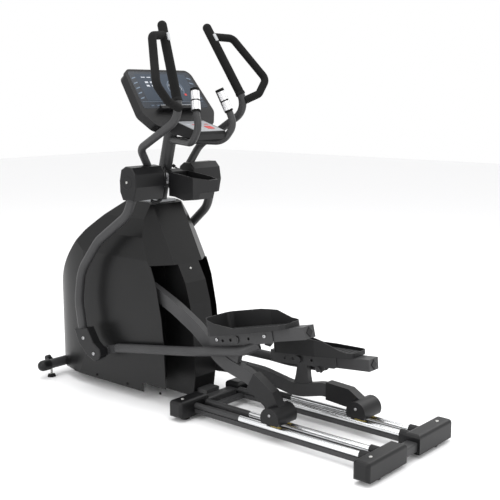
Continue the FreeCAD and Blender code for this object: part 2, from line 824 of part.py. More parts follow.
def crank_axle():
    """A turned shaft with a collar inside each bearing plate."""
    body = new_body("crank_axle")
    disc(body, "crank_shaft", CRANK_CENTRE, "12.5", "-86", "86")
    disc(body, "left_crank_collar", CRANK_CENTRE, "19", "-43.5", "-38")
    disc(body, "right_crank_collar", CRANK_CENTRE, "19", "38", "43.5")
    doc.recompute()
    return body.Shape.copy()


axle_of_crank = crank_axle()


def crank_arms():
    """Two forged arms set opposite each other, each with its pin."""
    y, z = size("crank_y"), size("crank_height")
    arms = []
    for side_name, side in SIDES:
        pin_y, pin_z = REST[side_name]["pin"]
        low, high = side_span(side, 70, 84)
        hub = rod((low, y, z), (high, y, z), 28)
        eye = rod((low, pin_y, pin_z), (high, pin_y, pin_z), 19)
        across, up = pin_y - y, pin_z - z
        length = math.hypot(across, up)
        off_y, off_z = -up / length, across / length
        web = polygon([
            (y + 24 * off_y, z + 24 * off_z), (y - 24 * off_y, z - 24 * off_z),
            (pin_y - 17 * off_y, pin_z - 17 * off_z), (pin_y + 17 * off_y, pin_z + 17 * off_z),
        ])
        pin = rod((side * 84, pin_y, pin_z), (side * 115, pin_y, pin_z), 9)
        arms.append(fused([hub, eye, slab(web, low, high), pin]).cut(axle_of_crank))
    return Part.makeCompound(arms)


shaped("crank_arms", crank_arms())


def drive_pulley():
    """A pulley with a thin web, six lightening holes and a hub on the crank axle."""
    body = new_body("drive_pulley")
    rim_bore = "Sizes.pulley_radius - 12"
    disc(body, "pulley_rim", CRANK_CENTRE, "Sizes.pulley_radius", "-12", "12")
    recess(body, "pulley_left_hollow", CRANK_CENTRE, rim_bore, "-12", "-3")
    recess(body, "pulley_right_hollow", CRANK_CENTRE, rim_bore, "3", "12")
    disc(body, "pulley_hub", CRANK_CENTRE, "26", "-20", "20")
    for turn in range(6):
        angle = 60 * turn + 30
        centre = (f"{CRANK_CENTRE[0]} + 82 * cos({angle} deg)", f"{CRANK_CENTRE[1]} + 82 * sin({angle} deg)")
        recess(body, f"pulley_hole_{turn + 1}", centre, "26", "-3", "3")
    recess(body, "pulley_bore", CRANK_CENTRE, "12.5", "-20", "20")
    doc.recompute()


def flywheel():
    """The flywheel with its spindle and small pulley, in one piece."""
    body = new_body("flywheel")
    disc(body, "flywheel_rim", FLYWHEEL_CENTRE, "Sizes.flywheel_radius", "14", "27")
    recess(body, "flywheel_dish", FLYWHEEL_CENTRE, "Sizes.flywheel_radius - 22", "22", "27")
    disc(body, "flywheel_boss", FLYWHEEL_CENTRE, "30", "20", "28")
    disc(body, "flywheel_hub", FLYWHEEL_CENTRE, "17", "-20", "20")
    disc(body, "flywheel_pulley", FLYWHEEL_CENTRE, "Sizes.small_pulley_radius", "-12", "12")
    disc(body, "flywheel_spindle", FLYWHEEL_CENTRE, "6", "-46", "46")
    doc.recompute()


drive_pulley()
flywheel()


def belt_loop(big, small):
    """The filled outline of a belt round both pulleys, grown to two radii."""
    y1, z1 = size("crank_y"), size("crank_height")
    y2, z2 = size("flywheel_y"), size("flywheel_height")
    gap = math.hypot(y2 - y1, z2 - z1)
    line = math.atan2(z2 - z1, y2 - y1)
    lean = math.acos((big - small) / gap)
    touches = []
    for turn in (line + lean, line - lean):
        touches.append((y1 + big * math.cos(turn), z1 + big * math.sin(turn)))
        touches.append((y2 + small * math.cos(turn), z2 + small * math.sin(turn)))
    quad = polygon([touches[0], touches[1], touches[3], touches[2]])
    return fused([
        slab(quad, -11, 11), rod((-11, y1, z1), (11, y1, z1), big), rod((-11, y2, z2), (11, y2, z2), small),
    ])


def drive_belt():
    big, small = size("pulley_radius") + 0.4, size("small_pulley_radius") + 0.4
    return belt_loop(big + 3, small + 3).cut(belt_loop(big, small))


shaped("drive_belt", drive_belt())


def brake_unit():
    """A magnet bridge over the rim of the flywheel, on a bracket from one flywheel post."""
    y, z = size("flywheel_y"), size("flywheel_height")
    bridge = box((6, y - 22, z + 84), (36, y + 22, z + 130))
    slot = rod((11, y, z), (30, y, z), size("flywheel_radius") + 4)
    bracket = box((32, y - 20, z + 24), (38, y + 20, z + 90))
    return bridge.cut(slot).fuse(bracket).removeSplitter()


shaped("brake_unit", brake_unit())


# ---------------------------------------------------------------- console
GRIP_BAR = 30


def grip_wire(side):
    """Centre line of one fixed grip, from the mast round under the keypad and up to the hand."""
    points = [(0, 284, 1150), (95, 55, 1145), (108, 5, 1215), (104, 22, 1260), (76, 58, 1361)]
    points = [(side * x, y, z) for x, y, z in points]
    return path(points, (70, 60, 100))


def console_outline(inset, corner):
    """The console seen square on: wider at the bottom, with rounded corners."""
    top, low, tall = size("console_top_half") - inset, size("console_low_half") - inset, size("console_tall")
    points = [
        Vector(-low, inset + 72, 0), Vector(-low + 50, inset, 0), Vector(low - 50, inset, 0),
        Vector(low, inset + 72, 0), Vector(top, tall - inset, 0), Vector(-top, tall - inset, 0),
    ]
    face = Part.Face(Part.makePolygon(points + points[:1]))
    solid = face.extrude(Vector(0, 0, 10))
    solid = solid.makeFillet(corner, upright_edges(solid))
    return next(item for item in solid.Faces if item.BoundBox.ZMax < 0.01)


def console_slab(inset, corner, low, high):
    face = console_outline(inset, corner)
    face.translate(Vector(0, 0, low))
    return face.extrude(Vector(0, 0, high - low))


DISPLAY_LOW = 92
DISPLAY_TOP = 284
DISPLAY_SIDE = 16


def display_slab(clearance, low, high):
    """The flat display overlay, which follows the sides of the console."""
    tall = size("console_tall")
    slope = (size("console_low_half") - size("console_top_half")) / tall

    def half_at(up):
        return size("console_low_half") - slope * up - DISPLAY_SIDE + clearance

    base, top = DISPLAY_LOW - clearance, DISPLAY_TOP + clearance
    points = [
        Vector(-half_at(base), base, low), Vector(half_at(base), base, low),
        Vector(half_at(top), top, low), Vector(-half_at(top), top, low),
    ]
    plate = Part.Face(Part.makePolygon(points + points[:1])).extrude(Vector(0, 0, high - low))
    return plate.makeFillet(12, upright_edges(plate))


KEY_PLACES = {"start_key": -34, "stop_key": 34}
NOSE_TOP = ((172, 1236), (32, 1192))
nose_slope = math.degrees(math.atan2(NOSE_TOP[0][1] - NOSE_TOP[1][1], NOSE_TOP[0][0] - NOSE_TOP[1][0]))
nose_place = about_x(nose_slope, (0, NOSE_TOP[1][0], NOSE_TOP[1][1]))


def on_nose(shape):
    """A shape drawn flat (X across, Y forward from the user's edge, Z up), put on the keypad nose."""
    moved = shape.copy()
    moved.Placement = nose_place.multiply(moved.Placement)
    return moved


def nose_block():
    """The keypad housing that stands out from the lower edge of the console."""
    profile = polygon([NOSE_TOP[0], NOSE_TOP[1], (30, 1180), (36, 1158), (176, 1180), (212, 1200)])
    block = slab(profile, -88, 88)
    front_edges = [
        edge for edge in block.Edges
        if abs(abs(edge.BoundBox.Center.x) - 88) < 0.5 and edge.BoundBox.Center.y < 34
    ]
    return block.makeFillet(10, front_edges)


def key(across, clearance=0.0):
    half_x, half_y = 20 + clearance, 17 + clearance
    plate = Part.makeBox(2 * half_x, 2 * half_y, 5, Vector(across - half_x, 50 - half_y, -4))
    return on_nose(plate.makeFillet(6, upright_edges(plate)))


def console_pieces():
    depth = size("console_depth")
    back = in_console(console_slab(5, 34, -depth, -16)).cut(in_console(console_slab(8, 31, -depth + 3, -16)))
    nose = nose_block()
    front = in_console(console_slab(0, 38, -16, 0)).cut(in_console(console_slab(3, 35, -17, -3)))
    front = front.cut(in_console(display_slab(0.3, -1.6, 1)))
    shelf = in_console(Part.makeBox(240, 14, 26, Vector(-120, 74, -1)))
    lip = in_console(Part.makeBox(240, 3, 12, Vector(-120, 88, 13)))
    nose = nose.cut([in_console(console_slab(-1, 38, -100, 0))])
    nose_top = Part.makeBox(164, 128, 6, Vector(-82, 6, -2.5))
    pockets = []
    for across in KEY_PLACES.values():
        pocket_box = Part.makeBox(42, 36, 30, Vector(across - 21, 32, -7.5))
        pockets.append(on_nose(pocket_box))
    grooves = [pipe(grip_wire(side), GRIP_BAR + 1) for side_name, side in SIDES]
    front = fused([front, nose, shelf.fuse(lip)]).cut([on_nose(nose_top)] + pockets + grooves)
    panel = on_nose(Part.makeBox(163, 127, 2.4, Vector(-81.5, 6.5, -2.5)))
    panel = panel.cut([key(across, 0.4) for across in KEY_PLACES.values()])
    panel = panel.cut([in_console(console_slab(-1, 38, -100, 0.3)), shelf])
    return back, front, panel


back_shape, front_shape, keypad_shape = console_pieces()
shaped("console_back", back_shape)
shaped("console_front", front_shape)
shaped("display_panel", in_console(display_slab(0, -1.6, 0.4)))
shaped("keypad_panel", keypad_shape)
for label, across in KEY_PLACES.items():
    shaped(label, key(across))


# ---------------------------------------------------------------- fixed grips
GRIP_TOP = Vector(76, 58, 1361)
GRIP_FOOT = Vector(104, 22, 1260)


def sleeve_span(side, start, end, radius):
    """A cylinder along the straight top part of a fixed grip, between two shares of its length."""
    foot = Vector(side * GRIP_FOOT.x, GRIP_FOOT.y, GRIP_FOOT.z)
    top = Vector(side * GRIP_TOP.x, GRIP_TOP.y, GRIP_TOP.z)
    along = top - foot
    low, high = foot + along * start, foot + along * end
    return rod(tuple(low), tuple(high), radius)


def fixed_grips():
    bar = fused([pipe(grip_wire(side), GRIP_BAR) for side_name, side in SIDES]).cut(mast_solid)
    sleeves, plates = [], []
    for side_name, side in SIDES:
        skin = sleeve_span(side, 0.12, 1.05, 18.5).cut(sleeve_span(side, 0, 1, 15))
        for start, end in ((0.2, 0.54), (0.6, 0.94)):
            plate = sleeve_span(side, start, end, 19.3).cut(sleeve_span(side, start, end, 18.5))
            face_y = (GRIP_FOOT.y + GRIP_TOP.y) / 2
            wedge = polygon([(-100, 1240), (face_y + 8, 1240), (face_y + 24, 1400), (-100, 1400)])
            plates.append(plate.common(slab(wedge, -200, 200)))
        sleeves.append(skin)
    return bar, sleeves, plates


bar_shape, sleeve_shapes, plate_shapes = fixed_grips()
shaped("fixed_grip_bar", bar_shape)
shaped("pulse_grips", Part.makeCompound(sleeve_shapes))
shaped("pulse_plates", Part.makeCompound(plate_shapes))


# ---------------------------------------------------------------- cup holder
def holder_block(profile, half, corner_x, corner_y):
    """A block as wide as the holder, with its two corners nearest the user cut off."""
    block = slab(polygon(profile), -half, half)
    for side_name, side in SIDES:
        corner = Part.makePolygon([
            Vector(side * 60, 10, 850), Vector(side * 60, corner_y, 850), Vector(side * corner_x, 26, 850),
            Vector(side * corner_x, 10, 850), Vector(side * 60, 10, 850),
        ])
        block = block.cut(Part.Face(corner).extrude(Vector(0, 0, 300)))
    return block


def cup_holder():
    """An open tub on the user's side of the mast, with a hood over the boss of the arm axle."""
    outer = [(26, 990), (30, 938), (62, 934), (72, 906), (150, 897), (200, 910), (236, 912), (236, 1016)]
    inner = [(30, 1100), (34, 942), (65, 938), (76, 910), (150, 901), (200, 914), (232, 916), (232, 1100)]
    tub = holder_block(outer, 56, 26, 102).cut(holder_block(inner, 52, 23, 106))
    hood_profile = polygon([(236, 946), (236, 1016), (262, 1026), (306, 1016), (318, 990), (300, 950)])
    hood = slab(hood_profile, -33, 33).cut(slab(hood_profile.makeOffset2D(-3), -30, 30))
    y, z = size("arm_y"), size("arm_height")
    return tub.fuse(hood).cut([mast_solid, axle_shape, rod((-60, y, z), (60, y, z), 13)])


shaped("cup_holder", cup_holder())


# ---------------------------------------------------------------- sensor cables
CABLE_DIAMETER = 7
CABLE_ROUTE = (
    (28, 291, 1034), (47, 266, 1013), (62, 249, 985), (66, 245, 950), (68, 252, 917), (84, 262, 893),
    (112, 266, 884), (134, 266, 897),
)


def cord_radii(points):
    """The largest arc that each corner of a cord's route has room for."""
    points = [Vector(*point) for point in points]
    radii = []
    for before, corner, after in zip(points, points[1:], points[2:]):
        into, out = corner - before, after - corner
        half_turn = into.getAngle(out) / 2
        radii.append(0.45 * min(into.Length, out.Length) / math.tan(half_turn))
    return radii


def sensor_cable(label, side):
    points = [(side * x, y, z) for x, y, z in CABLE_ROUTE]
    radii = cord_radii(points)
    wire = path(points, radii)
    cable = pipe(wire, CABLE_DIAMETER)
    expected = wire.Length * math.pi * (CABLE_DIAMETER / 2) ** 2
    print(label, "length", round(wire.Length), "radii", [round(radius) for radius in radii])
    print(label, "volume against section times length", round(cable.Volume / expected, 4))
    cable = cable.cut(mast_solid)
    shaped(label, cable)
    start, along = start_of(wire)
    collar = rod(tuple(start - along * 6), tuple(start + along * 7), 7.5)
    return collar.cut([mast_solid, cable])


grommets = [sensor_cable(side_name + "_sensor_cable", side) for side_name, side in SIDES]
shaped("cable_grommets", Part.makeCompound(grommets))


# ---------------------------------------------------------------- swing arms
# Each arm is drawn in its own frame: the origin on the arm axle, the link pivot straight below it.
HANDLE_ROUTE = ((118, 12, 12), (121, 31, 37), (188, 36, 129), (222, -190, 335), (171, 50, 639))
HANDLE_BENDS = (18, 55, 75)
GRIP_LOW = (213, -146, 391)
GRIP_HIGH = (171, 50, 639)
LOOP_ROUTE = ((176, 28, 611), (275, -6.5, 612), (357, -159.5, 458), (298, -179, 397), (217, -167, 365))
LOOP_BENDS = (34, 34, 34)
LOWER_ROUTE = (
    (236, -25, -24), (238, -7, -151), (242, 137, -323), (245, 212, -497), (245, 195, -643), (245, 131, -776),
)
LOWER_BENDS = (110, 190, 200, 190)
BOOT_OUTLINE = (
    (174, -768), (95, -727), (39, -775), (-9, -788), (-21, -808),
    (-16, -828), (11, -856), (60, -851), (128, -822),
)
COVER_OUTLINE = (
    (-34, -79), (30, -81), (48, -48), (52, 0), (44, 46), (18, 62), (-22, 60), (-44, 34), (-50, -20),
)


def mirrored(side, points):
    return [(side * x, y, z) for x, y, z in points]


def capped_bar(wire, diameter):
    """A round bar along a path with a ball at its far end."""
    bar = pipe(wire, diameter)
    edge = wire.Edges[-1]
    end = edge.valueAt(edge.LastParameter)
    return bar.fuse(Part.makeSphere(diameter / 2, end))


def along_grip(side, share):
    low, high = Vector(*GRIP_LOW), Vector(*GRIP_HIGH)
    point = low + (high - low) * share
    return Vector(side * point.x, point.y, point.z)


def grip_frame(side, share, off):
    """A placement on the user's side of the upper grip: X across, Y along the grip, Z outwards."""
    low, high = along_grip(side, 0), along_grip(side, 1)
    along = (high - low).normalize()
    toward = Vector(0, -1, 0)
    outward = (toward - along * toward.dot(along)).normalize()
    across = along.cross(outward)
    return Placement(along_grip(side, share) + outward * off, Rotation(across, along, outward, "ZYX"))


def switch_box(side, half_x, half_y, low, high):
    block = Part.makeBox(2 * half_x, 2 * half_y, high - low, Vector(-half_x, -half_y, low))
    block = block.makeFillet(3, upright_edges(block))
    block.Placement = grip_frame(side, 0.84, 0)
    return block


def cover_solid(inset, low, high, side):
    face = polygon(COVER_OUTLINE)
    face = face.makeOffset2D(-inset) if inset else face
    face.rotate(Vector(), X_AXIS, -12.8)
    near, far = side_span(side, low, high)
    return slab(face, near, far)


def arm_pieces(side):
    """Every piece of one swing arm, in the arm's own frame."""
    handle_d, arm_d = size("handle_diameter"), size("arm_diameter")
    radius = size("barrel_diameter") / 2
    bore_radius = size("axle_diameter") / 2 + size("running_gap")
    near, far = side_span(side, 85, 255)
    barrel = rod((near, 0, 0), (far, 0, 0), radius)
    bore = rod((side * 60, 0, 0), (side * 280, 0, 0), bore_radius)
    upper = capped_bar(path(mirrored(side, HANDLE_ROUTE), HANDLE_BENDS), handle_d)
    loop = pipe(path(mirrored(side, LOOP_ROUTE), LOOP_BENDS), size("loop_diameter") - 8)
    handle = fused([upper, barrel, loop]).cut(bore)

    grip_start, grip_end = along_grip(side, 0), along_grip(side, 1.02)
    foam = rod(tuple(grip_start), tuple(grip_end), size("grip_diameter") / 2)
    foam = foam.fuse(Part.makeSphere(size("grip_diameter") / 2, grip_end))
    loop_foam = pipe(path(mirrored(side, LOOP_ROUTE), LOOP_BENDS), size("loop_diameter"))
    pocket_shape = switch_box(side, 7, 17, 14, 40)
    grip = foam.fuse(loop_foam).cut([handle, pocket_shape])
    switch = switch_box(side, 6.5, 16.5, 18.6, 23.5)

    lower = pipe(path(mirrored(side, LOWER_ROUTE), LOWER_BENDS), arm_d)
    tabs = slab(polygon([(-44, -16), (-22, 14), (-6, -24), (-24, -48)]), side * 236 - 8, side * 236 + 8)
    lower = fused([lower, tabs]).cut(rod((side * 60, 0, 0), (side * 280, 0, 0), radius))

    boot_low, boot_high = side_span(side, 223, 267)
    boot = slab(polygon(BOOT_OUTLINE), boot_low, boot_high)
    soft = [
        edge for edge in boot.Edges
        if abs(edge.BoundBox.Center.x - boot_low) < 0.5 or abs(edge.BoundBox.Center.x - boot_high) < 0.5
    ]
    boot = boot.makeFillet(5, soft).cut(lower)

    cover = cover_solid(0, 90, 263, side)
    rims = [
        edge for edge in cover.Edges
        if abs(abs(edge.BoundBox.Center.x) - 90) < 0.5 or abs(abs(edge.BoundBox.Center.x) - 263) < 0.5
    ]
    cover = cover.makeFillet(6, rims)
    cover = cover.cut(cover_solid(2.6, 92.6, 260.4, side))
    cover = cover.cut([handle, lower, rod((side * 80, 0, 0), (side * 96, 0, 0), radius + 0.4)])
    solids = sorted(cover.Solids, key=lambda item: item.Volume)
    cover = solids[-1]
    return {
        "handle": handle, "handle_grip": grip, "thumb_switch": switch, "lower_arm": lower, "arm_boot": boot,
        "pivot_cover": cover,
    }


for side_name, side in SIDES:
    arm_place = about_x(REST[side_name]["arm_swing"], (0, size("arm_y"), size("arm_height")))
    for name, shape in arm_pieces(side).items():
        shaped(f"{side_name}_{name}", shape, arm_place)


# ---------------------------------------------------------------- pedal links and trays
# Drawn from the pedal pivot: Y towards the link pivot, Z square to it.
LINK_ROUTE = ((1, 690, 5), (1, 240, -31), (0.92, 130, -39), (0.916, -35, -46), (0.75, -95, -30))
LINK_BENDS = (400, 400, 90)
PLATE_NEAR = 103
PLATE_FAR = 171
PLATE_WALL = 4


def link_route(side):
    plane = size("link_plane")
    return [(side * share * plane, y, z) for share, y, z in LINK_ROUTE]


def pedal_link(side):
    """The link tube, its front eye, the two pivot plates and the channel under the tray."""
    arm_end = size("link_length")
    bar = pipe(path(link_route(side), LINK_BENDS), 40)
    ball = Part.makeSphere(20, Vector(*link_route(side)[0]))
    low, high = side_span(side, 196, 210)
    lug = slab(polygon([(682, -12), (682, 22), (arm_end, 19), (arm_end, -19)]), low, high)
    eye = rod((side * 192, arm_end, 0), (side * 219, arm_end, 0), 21)
    bolt = rod((side * 186, arm_end, 0), (side * 193, arm_end, 0), 10)
    members = [bar, ball, lug, eye, bolt]
    plate = polygon([(-190, -18), (-176, -24), (135, -24), (150, -12), (150, 24), (-190, 24)])
    holes = []
    for reach in (PLATE_NEAR, PLATE_FAR):
        low, high = side_span(side, reach, reach + PLATE_WALL)
        members.append(slab(plate, low, high))
        for hole_y in (75, 32, -65):
            holes.append(rod((low - 1, hole_y, 0), (high + 1, hole_y, 0), 6.5))
    low, high = side_span(side, PLATE_NEAR, PLATE_FAR + PLATE_WALL)
    members.append(box((low, -190, 24), (high, 150, 28)))
    members.append(box((low, 136, 8), (high, 150, 24)))
    channel_low, channel_high = side_span(side, PLATE_NEAR + PLATE_WALL, PLATE_FAR)
    members.append(box((channel_low, -345, -20), (channel_high, -110, 28)))
    members.append(rod((side * (PLATE_NEAR - 6), 0, 0), (side * (PLATE_FAR + PLATE_WALL + 6), 0, 0), 8))
    members.append(rod((side * (PLATE_NEAR - 12), 0, 0), (side * (PLATE_NEAR + 1), 0, 0), 15))
    members.append(rod((side * PLATE_FAR, 0, 0), (side * (PLATE_FAR + PLATE_WALL + 5), 0, 0), 15))
    lobe = polygon([(-132, 0), (-76, 0), (-84, -40), (-110, -48), (-128, -34)])
    low, high = side_span(side, PLATE_NEAR, PLATE_NEAR + PLATE_WALL)
    members.append(slab(lobe, low, high))
    members.append(rod((side * (PLATE_NEAR - 14), -104, -32), (side * (PLATE_NEAR + 1), -104, -32), 11))
    return fused(members).cut(holes)


TRAY_FRONT = 115
TRAY_FLOOR = 28
TRAY_TOP = 105


def tray_outline(side, inset, low, high):
    """The foot tray from above, narrower and rounder at the heel."""
    near, far = 65 + inset, 65 + size("tray_width") - inset
    front, heel = TRAY_FRONT - inset, TRAY_FRONT - size("tray_length") + inset
    points = [(near, front), (far, front), (far, -110), (far - 22, heel), (near + 22, heel), (near, -110)]
    corners = [Vector(side * x, y, low) for x, y in points]
    block = Part.Face(Part.makePolygon(corners + corners[:1])).extrude(Vector(0, 0, high - low))
    corner_edges = [edge for edge in upright_edges(block) if abs(edge.BoundBox.Center.y + 110) > 1]
    return block.makeFillet(30 - inset, corner_edges)


def foot_tray(side):
    """A moulded tray with a high toe and a high inner wall."""
    wall = 4
    block = tray_outline(side, 0, TRAY_FLOOR, TRAY_TOP)
    hollow = tray_outline(side, wall, TRAY_FLOOR + size("tray_floor"), TRAY_TOP + 10)
    middle = 65 + size("tray_width") / 2
    outer_low, outer_high = side_span(side, middle, 300)
    inner_low, inner_high = side_span(side, 0, middle)
    outer_cut = polygon([(115.5, 104), (60, 78), (-40, 52), (-280, 46), (-280, 140), (115.5, 140)])
    inner_cut = polygon([
        (115.5, 104), (-60, 102), (-150, 92), (-225, 58), (-280, 46), (-280, 140), (115.5, 140),
    ])
    return block.cut([hollow, slab(outer_cut, outer_low, outer_high), slab(inner_cut, inner_low, inner_high)])


for side_name, side in SIDES:
    pedal_y, pedal_z = REST[side_name]["pedal"]
    pedal_place = about_x(-REST[side_name]["link_tilt"], (0, pedal_y, pedal_z))
    shaped(side_name + "_pedal_link", pedal_link(side), pedal_place)
    shaped(side_name + "_pedal_tray", foot_tray(side), pedal_place)


# ---------------------------------------------------------------- pedal beams and roller carriages
# Drawn from the roller axle: Y towards the crank pin, Z square to it.
BEAM_ROUTE = ((0, 0), (90, 48), (200, 45), (330, 12), (520, 45), (660, 47), (800, 36), (1050, 0))
BEAM_BENDS = (70, 160, 260, 320, 700, 900)


def beam_tube(side, width, depth):
    """A flat-sided tube that follows the bends of the beam."""
    plane = side * size("beam_plane")
    wire = path([(plane, y, z) for y, z in BEAM_ROUTE], BEAM_BENDS)
    point, direction = start_of(wire)
    across = Vector(1, 0, 0)
    up = direction.cross(across).normalize()
    signs = ((-1, -1), (1, -1), (1, 1), (-1, 1))
    corners = [point + across * (a * width / 2) + up * (b * depth / 2) for a, b in signs]
    section = Part.makePolygon(corners + corners[:1])
    sweep = Part.BRepOffsetAPI.MakePipeShell(wire)
    sweep.setBiNormalMode(X_AXIS)
    sweep.add(section)
    sweep.build()
    sweep.makeSolid()
    return sweep.shape()


def pedal_beam(side):
    """The beam with its strut to the pedal pivot, its front bush and the roller axle."""
    along, above = size("pedal_along"), size("pedal_above")
    length = size("beam_length")
    gap = size("running_gap")
    low, high = side_span(side, 122, 156)
    boss = rod((low, 0, 0), (high, 0, 0), 20)
    bush_low, bush_high = side_span(side, 121, 157)
    bush = rod((bush_low, length, 0), (bush_high, length, 0), 20)
    strut_low, strut_high = side_span(side, 126, 152)
    strut = polygon([
        (along - 45, 20), (along + 50, 20), (along + 34, 80), (along + 21, above),
        (along - 21, above), (along - 30, 80),
    ])
    web = slab(strut, strut_low, strut_high)
    head = rod((strut_low, along, above), (strut_high, along, above), 22)
    beam = fused([beam_tube(side, size("beam_width"), size("beam_depth")), boss, bush, web, head])
    pin_space = rod((side * 80, along, above), (side * 200, along, above), 8 + gap)
    crank_space = rod((side * 80, length, 0), (side * 200, length, 0), 10)
    axle = rod((side * 85, 0, 0), (side * 193, 0, 0), 8)
    beam = beam.cut([pin_space, crank_space, rod((side * 60, 0, 0), (side * 220, 0, 0), 8)])
    return beam, axle


def roller_cover(side, beam, place):
    """The round hood over both rollers and the sleeve over the lower end of the beam."""
    low, high = side_span(side, 80, 200)
    hood = rod((low, 0, 0), (high, 0, 0), 45)
    sleeve_low, sleeve_high = side_span(side, 117, 161)
    sleeve_outline = polygon([(30, -22), (66, 0), (172, 8), (172, 82), (60, 76), (6, 44)])
    sleeve = slab(sleeve_outline, sleeve_low, sleeve_high)
    void_low, void_high = side_span(side, 83, 197)
    void = rod((void_low, 0, 0), (void_high, 0, 0), 42)
    base = place.Base
    below = box((-400, base.y - 400, -300), (400, base.y + 400, 78))
    below.Placement = place.inverse().multiply(below.Placement)
    cover = hood.fuse(sleeve).cut([void, beam, below])
    return max(cover.Solids, key=lambda item: item.Volume)


def roller_pair(side):
    wheels = []
    for reach in (size("rail_inner"), size("rail_outer")):
        low, high = side_span(side, reach - 13, reach + 13)
        tread = rod((low, 0, 0), (high, 0, 0), size("roller_radius"))
        bore = rod((low - 1, 0, 0), (high + 1, 0, 0), 8 + size("running_gap"))
        rims = [edge for edge in tread.Edges if edge.Curve.TypeId == "Part::GeomCircle"]
        wheels.append(tread.makeFillet(3, rims).cut(bore))
    return Part.makeCompound(wheels)


for side_name, side in SIDES:
    axle_y, axle_z = REST[side_name]["axle"]
    beam_place = about_x(REST[side_name]["beam_tilt"], (0, axle_y, axle_z))
    beam, axle = pedal_beam(side)
    shaped(side_name + "_pedal_beam", Part.makeCompound([beam, axle]), beam_place)
    shaped(side_name + "_roller_cover", roller_cover(side, beam, beam_place), beam_place)
    shaped(side_name + "_rollers", roller_pair(side), beam_place)


# ---------------------------------------------------------------- checks and files
doc.recompute()
for item in doc.Objects:
    faults = {"Invalid", "Error"} & set(item.State)
    if faults:
        raise RuntimeError(f"{item.Label}: {faults}")
for piece in pieces:
    shape = piece.Shape
    if shape.isNull() or not shape.isValid() or not shape.Solids:
        raise RuntimeError(f"{piece.Label}: no valid solid")
    if any(not solid.isClosed() for solid in shape.Shells):
        raise RuntimeError(f"{piece.Label}: an open shell")
print(len(pieces), "sub-parts")
for piece in pieces:
    piece.Shape.exportStep(f"parts/{piece.Label}.step")
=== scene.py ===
"""Elliptical trainer, shown on a pale studio floor. Metres; Z up, Y to the front, X to the user's right."""
import json
import math

import bmesh
import bpy
from mathutils import Matrix, Vector


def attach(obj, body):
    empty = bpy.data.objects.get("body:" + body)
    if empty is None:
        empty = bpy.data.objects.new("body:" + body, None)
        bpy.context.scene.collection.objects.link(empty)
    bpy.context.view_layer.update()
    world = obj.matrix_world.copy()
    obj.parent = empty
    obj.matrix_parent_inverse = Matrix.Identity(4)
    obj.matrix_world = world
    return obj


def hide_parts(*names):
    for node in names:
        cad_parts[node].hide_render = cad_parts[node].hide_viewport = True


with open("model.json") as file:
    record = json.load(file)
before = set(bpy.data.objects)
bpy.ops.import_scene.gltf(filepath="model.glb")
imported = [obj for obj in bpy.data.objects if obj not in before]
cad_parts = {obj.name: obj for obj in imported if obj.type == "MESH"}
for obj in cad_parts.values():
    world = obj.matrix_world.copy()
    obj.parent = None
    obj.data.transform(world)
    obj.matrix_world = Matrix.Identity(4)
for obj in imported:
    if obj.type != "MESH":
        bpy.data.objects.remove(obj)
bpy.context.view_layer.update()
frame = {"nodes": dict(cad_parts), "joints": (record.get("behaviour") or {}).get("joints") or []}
nodes = frame["nodes"]
scene = bpy.context.scene

# ---------------------------------------------------------------- the studio
# A wide pale floor under large soft lamps, with the camera behind the user's left heel.
# Nothing here belongs to the machine.
CAMERA_PLACE = (-2.8418, -2.5968, 1.3472)
CAMERA_LOOK = (0.7504, 0.6394, -0.1675)
camera_data = bpy.data.cameras.new("camera")
camera_data.lens = 66.24
camera_data.sensor_width = 36
camera_data.clip_end = 60
camera = bpy.data.objects.new("camera", camera_data)
scene.collection.objects.link(camera)
camera.location = CAMERA_PLACE
camera.rotation_euler = Vector(CAMERA_LOOK).normalized().to_track_quat("-Z", "Y").to_euler()
scene.camera = camera


def studio_floor(reach=14):
    """A wide flat sheet of pale paper."""
    mesh = bpy.data.meshes.new("studio_floor")
    corners = [(-reach, -reach, 0), (reach, -reach, 0), (reach, reach, 0), (-reach, reach, 0)]
    mesh.from_pydata(corners, [], [(0, 1, 2, 3)])
    floor = bpy.data.objects.new("studio_floor", mesh)
    scene.collection.objects.link(floor)
    paper = bpy.data.materials.new("studio_paper")
    paper.use_nodes = True
    shader = paper.node_tree.nodes["Principled BSDF"]
    shader.inputs["Base Color"].default_value = (0.93, 0.93, 0.935, 1)
    shader.inputs["Roughness"].default_value = 0.75
    shader.inputs["Specular IOR Level"].default_value = 0.15
    mesh.materials.append(paper)


def soft_lamp(name, place, target, width, height, power):
    """A rectangular soft box of a given size and power in watts, turned to a target."""
    light = bpy.data.lights.new(name, "AREA")
    light.shape = "RECTANGLE"
    light.size, light.size_y = width, height
    light.energy = power
    lamp = bpy.data.objects.new(name, light)
    lamp.location = place
    lamp.rotation_euler = (Vector(target) - Vector(place)).to_track_quat("-Z", "Y").to_euler()
    scene.collection.objects.link(lamp)


studio_floor()
soft_lamp("lamp_overhead", (-0.3, -0.3, 4.2), (0, 0, 0.6), 4.5, 4.5, 130)
soft_lamp("lamp_left", (-4.2, 0.4, 2.2), (0, 0, 0.8), 2.6, 3.0, 70)
soft_lamp("lamp_rear", (-0.8, -4.6, 2.4), (0, 0, 0.7), 3.0, 2.4, 45)
soft_lamp("lamp_right", (4.0, -0.6, 2.6), (0, 0, 0.7), 2.4, 2.4, 30)
world = bpy.data.worlds.new("studio_air")
world.use_nodes = True
world.node_tree.nodes["Background"].inputs["Color"].default_value = (1, 1, 1, 1)
world.node_tree.nodes["Background"].inputs["Strength"].default_value = 1.0
scene.world = world
scene.view_settings.view_transform = "Standard"

# ---------------------------------------------------------------- powder-coated steel
# The floor frame, the mast, the arms and the pedal bars are bent and welded steel tube.
# They are sprayed with charcoal powder, which bakes to a satin skin with a faint orange-peel.


